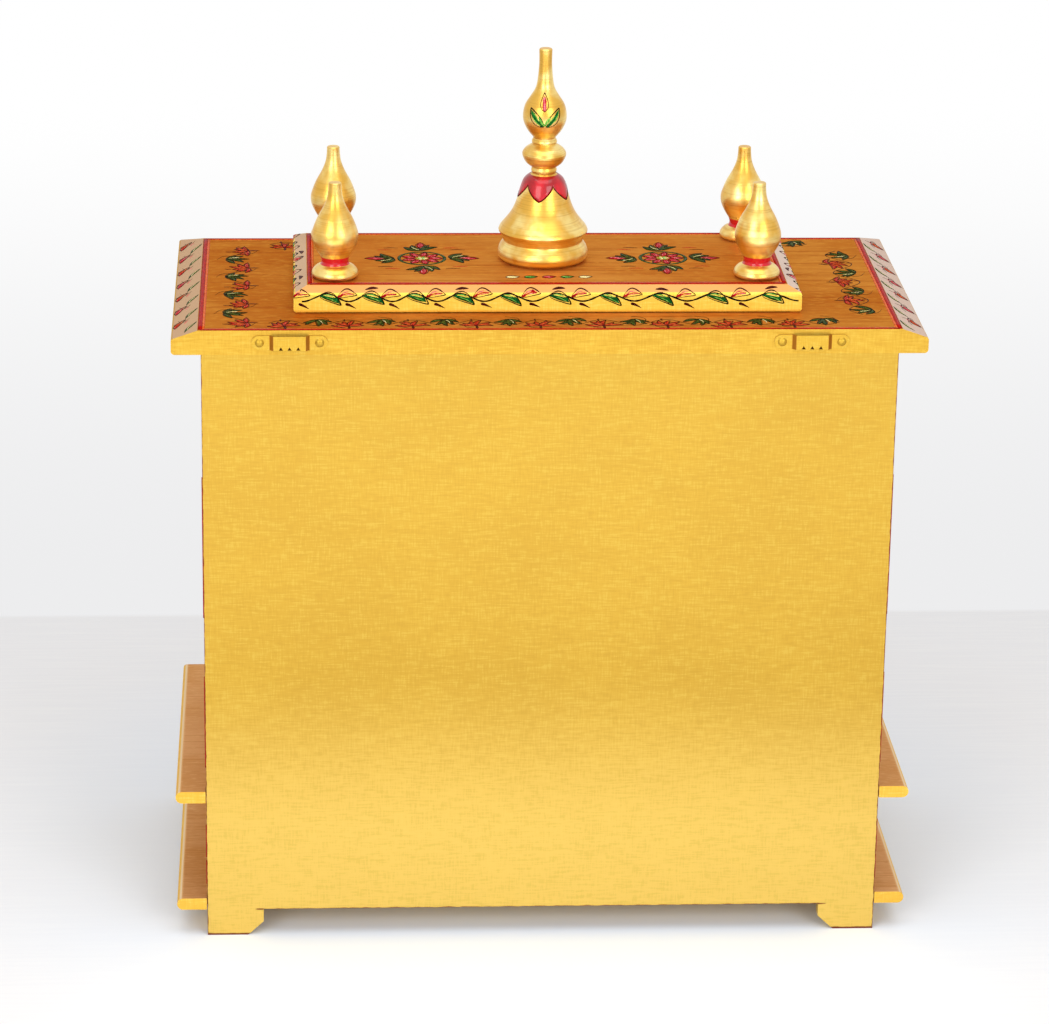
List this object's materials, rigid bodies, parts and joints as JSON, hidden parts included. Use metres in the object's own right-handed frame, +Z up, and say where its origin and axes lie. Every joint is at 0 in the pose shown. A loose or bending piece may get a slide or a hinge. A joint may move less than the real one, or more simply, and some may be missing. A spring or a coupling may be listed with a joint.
{
  "type": "wooden pooja mandir",
  "caption": "Small painted wooden household shrine: open arched chamber on a base of two boards, moulded flat roof with a raised tier, turned finials and wall hangers.",
  "frame": {"origin": "middle of the whole object's footprint, on the surface that its feet stand on", "axes": "+Z up; the open front faces -Y and the back panel with its wall hangers faces +Y; +X is to the right as seen from the front"},
  "size_m": [0.4522, 0.2178, 0.5387],
  "materials": {
    "gold_panel": "satin metallic gold paint over board",
    "base_board": "satin metallic gold paint over board",
    "roof_board": "brown-gold paint with a painted floral border",
    "tier_board": "brown-gold paint with a painted vine round the edge",
    "turned_wood": "satin metallic gold paint on turned wood, with red lacquer bands",
    "front_trim": "satin metallic gold paint over board",
    "hanger_metal": "pressed sheet steel painted over in gold"
  },
  "bodies": {
    "root": {"back_panel": "gold_panel", "lower_slab": "base_board", "middle_slab": "base_board", "base_side_left": "gold_panel", "base_side_right": "gold_panel", "base_front_panel": "gold_panel", "front_foot_left": "gold_panel", "front_foot_right": "gold_panel", "front_return_left": "gold_panel", "front_return_right": "gold_panel", "rear_return_left": "gold_panel", "rear_return_right": "gold_panel", "side_panel_left": "gold_panel", "side_panel_right": "gold_panel", "plinth_left": "front_trim", "plinth_right": "front_trim", "column_left": "turned_wood", "column_right": "turned_wood", "capital_left": "front_trim", "capital_right": "front_trim", "arch_panel": "front_trim", "roof_slab": "roof_board", "upper_tier": "tier_board", "central_finial": "turned_wood", "finial_back_left": "turned_wood", "finial_back_right": "turned_wood", "finial_front_left": "turned_wood", "finial_front_right": "turned_wood", "hanger_left": "hanger_metal", "hanger_right": "hanger_metal", "hanger_nails_left": "hanger_metal", "hanger_nails_right": "hanger_metal"}
  },
  "joints": []
}
